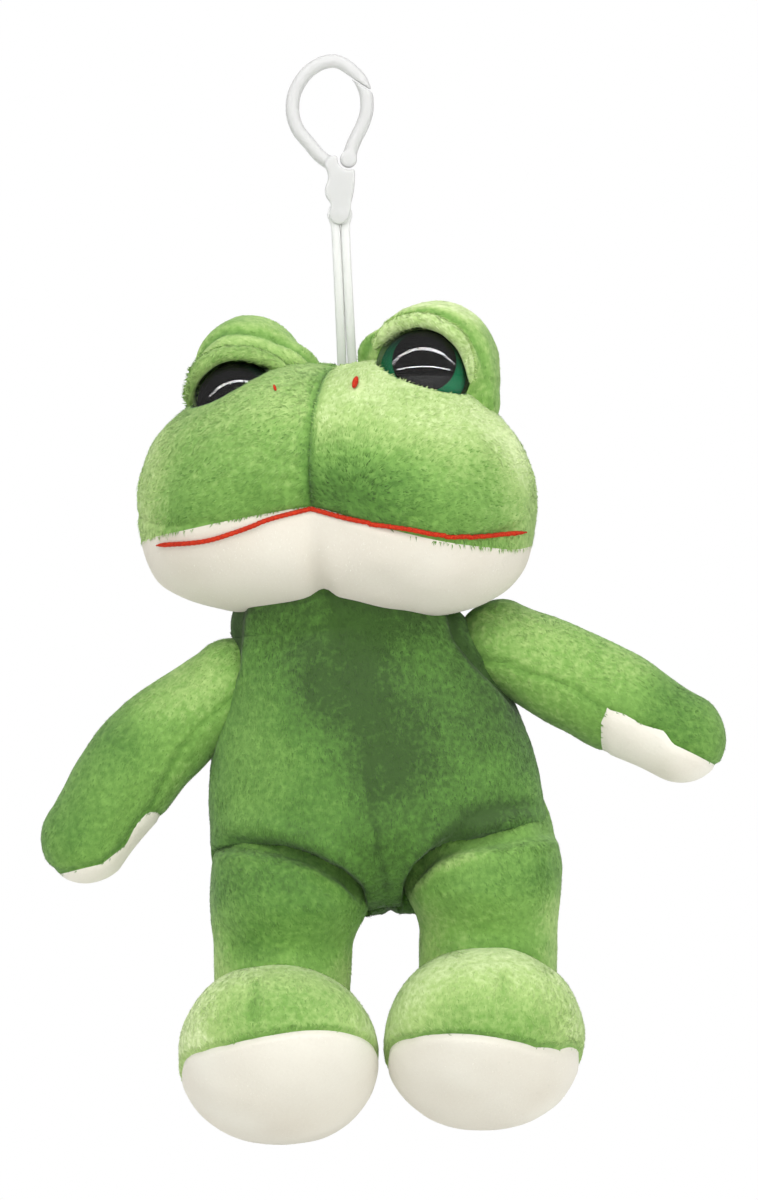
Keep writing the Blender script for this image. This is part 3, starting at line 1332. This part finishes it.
def make_torso():
    form = form_of(torso_point, TORSO_FRAME, segments=256, rings=176)
    local = placed(TORSO_FRAME.inverted(), form.points)
    side_seam = bump(local[:, 1], 0.0, 0.0010) * (local[:, 2] < -0.030)
    side_seam = side_seam + bump(local[:, 0], 0.0, 0.0010) * (local[:, 1] > 0)
    lumps = noise_layers(form.points, (0.0007, 0.016, 101), (0.0003, 0.007, 102))
    depth, dark = lines_on(form, TORSO_LINES)
    view = as_seen(form.points)
    neck = bump(view[:, 1], seen_z(NECK_FOLD_HEIGHT), 0.011) * fade(view[:, 0], *map(seen_x, NECK_FOLD_ENDS))
    seat = fade(view[:, 1], *map(seen_z, SEAT_HEIGHTS)) * bump(view[:, 0], seen_x(SEAT_MIDDLE), 0.010)
    facing = fade(-form.normals[:, 1], -0.10, 0.70)
    sink = np.zeros(len(view))
    for side in SIDES:
        below = hip_depth(view, side)
        near = facing * hip_reach(view, side, "inner", 0.0012)
        firm = near * hip_reach(view, side, "outer", 0.0070)
        sink += 0.0085 * fade(below, 0.0, 0.0022) * near + 0.0020 * bump(below, 0.0, 0.0018) * firm
        sink -= 0.0010 * bump(below, -0.0045, 0.0025) * firm
        dark += 0.16 * bump(below, 0.0, 0.0024) * firm
    form.push(lumps - 0.0008 * side_seam - depth - PILE_ROOM + 0.0036 * neck - 0.0024 * seat - sink)
    form.tone = 0.12 + noise_layers(form.points, (0.04, 0.010, 103), (0.03, 0.004, 104))
    form.tone += spots_on(form, TORSO_SPOTS) - dark - 0.15 * side_seam
    form.nap = np.tile((0.1, 0.0, -1.0), (len(form.points), 1))
    middle = form.middles()
    blocks = (("front", -1.0), ("back", 1.0))
    for side, sign in SIDES.items():
        for place, front in blocks:
            chosen = (middle[:, 0] * sign > 0) & (middle[:, 1] * front > 0)
            nodes = [f"torso_{place}_{side}"]
            if (side, place) == ("left", "front"):
                nodes.append("torso_stuffing")
            dress(f"torso_cloth_{place}_{side}", form, chosen, "smooth", "torso", nodes)


ARM_SPOTS = {
    "left": ((200, 670, 0.010, 0.16), (100, 800, 0.014, -0.10), (160, 715, 0.009, 0.06),
             (120, 745, 0.007, -0.16), (60, 840, 0.009, -0.12)),
    "right": ((560, 635, 0.013, 0.12), (640, 675, 0.008, 0.12), (665, 705, 0.010, -0.18),
              (705, 740, 0.008, -0.12), (520, 640, 0.008, 0.04)),
}


def make_arm(side):
    place = Matrix.Translation(shoulder_place(side)) @ arm_turn(side)
    form = form_of(arm_point(side), place, segments=96, rings=110)
    seam_line = [seen_at(*spot) for spot in ARM_SEAMS[side]]
    palm_line = [seen_at(*spot) for spot in PALM_EDGES[side]]
    view = as_seen(form.points)
    off_seam = line_side(view, seam_line) * -SIDES[side]
    off_palm = line_side(view, palm_line)
    seam = bump(off_palm, 0.0, 0.0008)
    seam = np.maximum(seam, bump(off_seam, 0.0, 0.0009) * (off_palm < 0))
    lumps = noise_layers(form.points, (0.0004, 0.012, 111), (0.0002, 0.006, 112))
    form.push(lumps - 0.0005 * seam - PILE_ROOM)
    form.tone = 0.48 + noise_layers(form.points, (0.05, 0.010, 113), (0.03, 0.004, 114))
    form.tone += spots_on(form, ARM_SPOTS[side]) - 0.12 * seam
    axis = np.array(arm_turn(side))[:3, 2]
    form.nap = np.tile(axis, (len(form.points), 1)) + (0.0, 0.0, -0.25)
    form.split(line_side(as_seen(form.points), palm_line))
    form.split(-SIDES[side] * line_side(as_seen(form.points), seam_line))
    centres = np.array([as_seen(form.points[list(face)]).mean(0) for face in form.faces])
    palm = line_side(centres, palm_line) > 0
    under = (-SIDES[side] * line_side(centres, seam_line) > 0) & ~palm
    blend = blend_over("torso", "arm_" + side, shoulder_place(side), Vector(axis), SHOULDER_BLEND)
    dress("arm_cloth_upper_" + side, form, ~under & ~palm, "smooth", None,
          ["arm_upper_" + side, "arm_stuffing_" + side], blend)
    dress("arm_cloth_under_" + side, form, under, "smooth", None, ["arm_under_" + side],
          blend)
    form.tone = 0.75 + 0.2 * noise(form.points, 0.008, 115)
    dress("palm_cloth_" + side, form, palm, "white", "arm_" + side, ["palm_" + side])


LEG_TONE = {"left": 0.33, "right": 0.45}


def make_leg(side):
    pivot = hip_place(side)
    form = form_of(leg_point, Matrix.Translation(pivot) @ turn(180.0, "X"), segments=160, rings=128)
    local = form.points - np.array(pivot)
    full = fade(local[:, 2], -0.011, 0.001)
    local[:, 2] *= np.where(local[:, 2] > 0, THIGH_RISE, 1.0)
    local[:, 0] = local[:, 0] * (1.0 + 0.16 * full) - SIDES[side] * 0.0016 * full
    local[:, 1] *= np.where(local[:, 1] < 0, 1.0 + 0.30 * full, 1.0)
    form.points = local + np.array(pivot)
    form.find_normals()
    seam = bump(form.directions[:, 1], 0.0, 0.03) * (form.directions[:, 0] * SIDES[side] < 0)
    lumps = noise_layers(form.points, (0.0004, 0.010, 121), (0.0002, 0.005, 122))
    view = as_seen(form.points)
    below = hip_depth(view, side)
    facing = fade(-form.normals[:, 1], 0.1, 0.5)
    near = hip_reach(view, side, "inner", 0.0030)
    firm = facing * near * hip_reach(view, side, "outer", 0.0070)
    tuck = 0.0026 * (1.0 - fade(below, -0.0005, 0.0030)) * near * fade(-form.normals[:, 1], -0.2, 0.3)
    form.push(lumps - 0.0006 * seam - PILE_ROOM / 2 - tuck)
    form.tone = LEG_TONE[side] + noise_layers(form.points, (0.05, 0.010, 123), (0.03, 0.004, 124))
    off_axis = (form.points[:, 0] - pivot.x) / LEG_RADIUS
    below_hip = fade(pivot.z + 0.004 - form.points[:, 2], 0.0, 0.012)
    form.tone += 0.24 * fade(np.abs(off_axis), 0.45, 1.0) * below_hip
    form.tone -= 0.10 * bump(below, 0.0090, 0.0055) * facing
    if side == "left":
        form.tone += 0.16 * fade(seen_z(SHIN_LIGHT_FROM) - view[:, 1], 0.0, 0.006)
    else:
        inner = fade(seen_x(THIGH_LIGHT_TO) - view[:, 0], 0.0, 0.01)
        form.tone += 0.20 * bump(below, 0.0030, 0.0018) * firm * inner
    form.nap = np.tile((0.5, 0.0, -0.8), (len(form.points), 1))
    blend = blend_over("torso", "leg_" + side, pivot, -UP, HIP_BLEND)
    everywhere = np.ones(len(form.faces), bool)
    dress("leg_cloth_" + side, form, everywhere, "smooth", None,
          ["leg_" + side, "leg_stuffing_" + side], blend)


FOOT_LINES = {
    "left": ((((256, 982), (254, 1000), (252, 1019)), 0.0004, 0.0008, 0.14),),
    "right": ((((504, 972), (505, 982), (504, 990)), 0.0004, 0.0008, 0.14),),
}
# Metres on a foot for one unit of height on its sphere, near the seam
FOOT_SEAM_SCALE = 0.022
FOOT_TONE = {"left": 0.99, "right": 0.90}
FOOT_SPOTS = {
    "left": ((262, 1012, 0.012, -0.28), (225, 1024, 0.009, -0.16), (310, 1008, 0.012, -0.24),
             (345, 1012, 0.008, -0.14)),
    "right": ((440, 1022, 0.010, -0.18), (485, 1020, 0.011, -0.20), (535, 1030, 0.010, -0.24)),
}


def sole_seam(directions, side):
    """Height of the seam on the unit sphere for each direction of a foot."""
    inner = -SIDES[side] * directions[:, 0]
    shares = SOLE_SEAM_SHARES[side]
    front = np.interp(inner, np.linspace(-1.0, 1.0, len(shares)), shares)
    return mix(front, -0.12, fade(directions[:, 1], 0.0, 0.4))


def make_foot(side):
    pivot = ankle_place(side)
    form = form_of(foot_point, foot_frame(side), segments=160, rings=128)
    above_seam = (form.directions[:, 2] - sole_seam(form.directions, side)) * FOOT_SEAM_SCALE
    seam = bump(above_seam, 0.0, 0.0010)
    depth, dark = lines_on(form, FOOT_LINES[side])
    lumps = noise_layers(form.points, (0.0005, 0.013, 131), (0.0002, 0.006, 132))
    form.push(lumps - 0.0008 * seam - depth - PILE_ROOM)
    form.tone = FOOT_TONE[side] + 0.05 * noise(form.points, 0.010, 133)
    form.tone += spots_on(form, FOOT_SPOTS[side]) - dark
    form.tone -= 0.20 * fade(0.0035 - above_seam, 0.0, 0.0035)
    form.tone -= 0.25 * fade(form.points[:, 1], pivot.y - 0.006, pivot.y + 0.010)
    away = form.points - np.array(foot_frame(side).translation)
    form.nap = unit(away) + (0.0, -0.3, -0.9)
    top = form.split(above_seam)
    blend = blend_over("leg_" + side, "foot_" + side, pivot, -UP, ANKLE_BLEND)
    dress("foot_cloth_" + side, form, top, "smooth", None,
          ["foot_top_" + side, "foot_stuffing_" + side], blend)
    form.tone = 0.75 + 0.2 * noise(form.points, 0.010, 134)
    dress("sole_cloth_" + side, form, ~top, "white", "foot_" + side, ["sole_" + side])


# Hook and strap

def plastic_material(name, colour):
    plastic = new_material(name, linear(colour), 0.45, Subsurface_Weight=0.5, Subsurface_Scale=0.003, IOR=1.4)
    plastic.node_tree.nodes["Principled BSDF"].inputs["Subsurface Radius"].default_value = (1.0, 1.0, 1.0)
    return plastic


def strap_line():
    """The middle line of the strap's loop in its own frame, as in the CAD source."""
    top_bend = BAR_RADIUS + PLAY + STRAP_THICKNESS / 2
    low_bend = TACK_RADIUS + PLAY + STRAP_THICKNESS / 2
    close = STRAP_THICKNESS / 2 + PLAY
    turns = np.radians((0.0, 45.0, 90.0, 125.0))
    low_turns = np.radians((80.0, 120.0, 150.0, 180.0))
    across = np.concatenate((top_bend * np.sin(turns), (close, close, STRAP_SPREAD / 2),
                             low_bend * np.sin(low_turns)))
    up = np.concatenate((top_bend * np.cos(turns), np.array((-0.10, -0.5, -0.85)) * STRAP_LENGTH,
                         low_bend * np.cos(low_turns) - STRAP_LENGTH))
    half = np.stack((across, np.zeros(len(across)), up), 1)
    return np.concatenate((half, half[-2:0:-1] * (-1.0, 1.0, 1.0)))


STRAP_SIDES = 16


def make_strap(plastic):
    """The loop as two flat strands, swollen so that they nearly touch."""
    line = smooth_path(strap_line(), 241, cyclic=True)[:-1]
    along = unit(np.roll(line, -1, axis=0) - np.roll(line, 1, axis=0))
    outward = np.cross((0.0, 1.0, 0.0), along)
    angle = 2.0 * np.pi * np.arange(STRAP_SIDES) / STRAP_SIDES
    thick = (STRAP_THICKNESS / 2 + STRAP_SWELL) * np.sign(np.cos(angle)) * np.abs(np.cos(angle)) ** 0.6
    deep = STRAP_WIDTH / 2 * np.sign(np.sin(angle)) * np.abs(np.sin(angle)) ** 0.6
    ring = outward[:, None] * thick[None, :, None] + np.array((0.0, 1.0, 0.0)) * deep[None, :, None]
    corners = placed(STRAP_FRAME, (line[:, None] + ring).reshape(-1, 3))
    faces = []
    for i in range(len(line)):
        for j in range(STRAP_SIDES):
            low, high = i * STRAP_SIDES, (i + 1) % len(line) * STRAP_SIDES
            after = (j + 1) % STRAP_SIDES
            faces.append((low + j, high + j, high + after, low + after))
    mesh = mesh_of("strap_fine", corners, faces, plastic)
    add_piece("strap_fine", mesh, "strap", ["strap"])


def softened(name, material):
    """The CAD piece's shape with smooth faces and melted edges."""
    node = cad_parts[name]
    shape = bmesh.new()
    shape.from_mesh(node.data)
    shape.transform(node.matrix_world)
    bmesh.ops.remove_doubles(shape, verts=shape.verts[:], dist=1e-6)
    rough = bpy.data.meshes.new(name)
    shape.to_mesh(rough)
    shape.free()
    thing = new_object(name + "_rough", rough)
    remesh = thing.modifiers.new("even", "REMESH")
    remesh.mode, remesh.voxel_size = "VOXEL", 0.00022
    smooth = thing.modifiers.new("smooth", "SMOOTH")
    smooth.factor, smooth.iterations = 0.5, 36
    made = applied(thing)
    bpy.data.objects.remove(thing, do_unlink=True)
    made.materials.clear()
    made.materials.append(material)
    made.shade_smooth()
    return made


def make_hook():
    plastic = plastic_material("hook_plastic", (198, 198, 197))
    for name, body in (("hook_ring", "hook"), ("hook_gate", "gate")):
        add_piece(name + "_fine", softened(name, plastic), body, [name])
    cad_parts["strap_tack"].data.materials[0] = plastic
    make_strap(plastic_material("strap_plastic", (220, 220, 219)))


# Studio

def look_at(thing, place, target):
    thing.location = place
    thing.rotation_mode = "QUATERNION"
    thing.rotation_quaternion = (Vector(target) - Vector(place)).to_track_quat("-Z", "Y")


def add_lamp(name, place, target, width, height, power, mirrored=False):
    """An area lamp, in metres and watts. Mirrored lamps are the ones that the eyes reflect."""
    lamp = bpy.data.lights.new(name, "AREA")
    lamp.shape = "RECTANGLE"
    lamp.size, lamp.size_y = width, height
    lamp.energy = power
    thing = new_object(name, lamp)
    look_at(thing, place, target)
    thing.visible_glossy = mirrored
    thing.visible_diffuse = not mirrored


def make_camera():
    camera = new_object("camera", bpy.data.cameras.new("camera"))
    camera.location = (VIEW_X, -VIEW_DISTANCE, VIEW_Z)
    camera.rotation_euler = (math.radians(90.0), 0.0, 0.0)
    sensor = 36.0
    camera.data.sensor_width = sensor
    camera.data.lens = sensor / 2 / (FRAME_HEIGHT * PIXEL / 2 / VIEW_DISTANCE)
    camera.data.clip_start, camera.data.clip_end = 0.05, 20.0
    bpy.context.scene.camera = camera


def make_lamps():
    middle = (VIEW_X, 0.0, VIEW_Z)
    eyes = (VIEW_X, 0.0, -0.075)
    add_lamp("key", (-0.35, -1.15, 0.80), middle, 0.7, 0.7, 11.5)
    add_lamp("fill", (0.9, -1.0, 0.15), middle, 0.8, 0.8, 5.6)
    add_lamp("top", (0.0, -0.25, 1.0), middle, 0.8, 0.8, 3.2)
    add_lamp("tube", (0.0, -0.60, 0.90), eyes, 6.8, 0.07, 68.0, mirrored=True)
    add_lamp("low_tube", (0.0, -1.3, 0.25), eyes, 6.8, 0.05, 48.0, mirrored=True)
    add_lamp("rim", (0.1, 1.1, 0.7), middle, 0.8, 0.8, 5.0)


def show_white(tree, plain, white, rays):
    """Shows the white shader to these rays and the plain one to all others."""
    nodes, links = tree.nodes, tree.links
    path = nodes.new("ShaderNodeLightPath")
    share = path.outputs[rays[0]]
    for ray in rays[1:]:
        either = nodes.new("ShaderNodeMath")
        either.operation = "MAXIMUM"
        links.new(share, either.inputs[0])
        links.new(path.outputs[ray], either.inputs[1])
        share = either.outputs[0]
    choose = nodes.new("ShaderNodeMixShader")
    links.new(share, choose.inputs["Fac"])
    links.new(plain.outputs[0], choose.inputs[1])
    links.new(white.outputs[0], choose.inputs[2])
    output = next(node for node in nodes if node.type.startswith("OUTPUT"))
    links.new(choose.outputs[0], output.inputs["Surface"])


def make_world():
    world = bpy.data.worlds.new("studio")
    bpy.context.scene.world = world
    world.use_nodes = True
    nodes = world.node_tree.nodes
    soft = nodes["Background"]
    white = nodes.new("ShaderNodeBackground")
    for background, strength in ((soft, 0.52), (white, 1.0)):
        background.inputs["Color"].default_value = (1.0, 1.0, 1.0, 1.0)
        background.inputs["Strength"].default_value = strength
    show_white(world.node_tree, soft, white, ("Is Camera Ray", "Is Transmission Ray"))


def make_floor():
    low = CAD_BOX[0].z - 0.008
    mesh = bpy.data.meshes.new("floor")
    mesh.from_pydata([(-4, -4, low), (4, -4, low), (4, 4, low), (-4, 4, low)], [], [(0, 1, 2, 3)])
    floor = new_object("floor", mesh)
    pale = new_material("floor_pale", (0.9, 0.9, 0.9, 1.0), 0.9)
    nodes = pale.node_tree.nodes
    show_white(pale.node_tree, nodes["Principled BSDF"], nodes.new("ShaderNodeEmission"), ("Is Camera Ray",))
    mesh.materials.append(pale)


bpy.context.scene.view_settings.view_transform = "Standard"
make_camera()
make_lamps()
make_world()
make_floor()
head_form = make_head()
for part_side in SIDES:
    make_hood(part_side)
    make_lid(part_side)
    make_eye(part_side)
make_mouth(head_form)
make_nostrils(head_form)
make_torso()
for part_side in SIDES:
    make_arm(part_side)
    make_leg(part_side)
    make_foot(part_side)
make_hook()

bpy.context.view_layer.update()
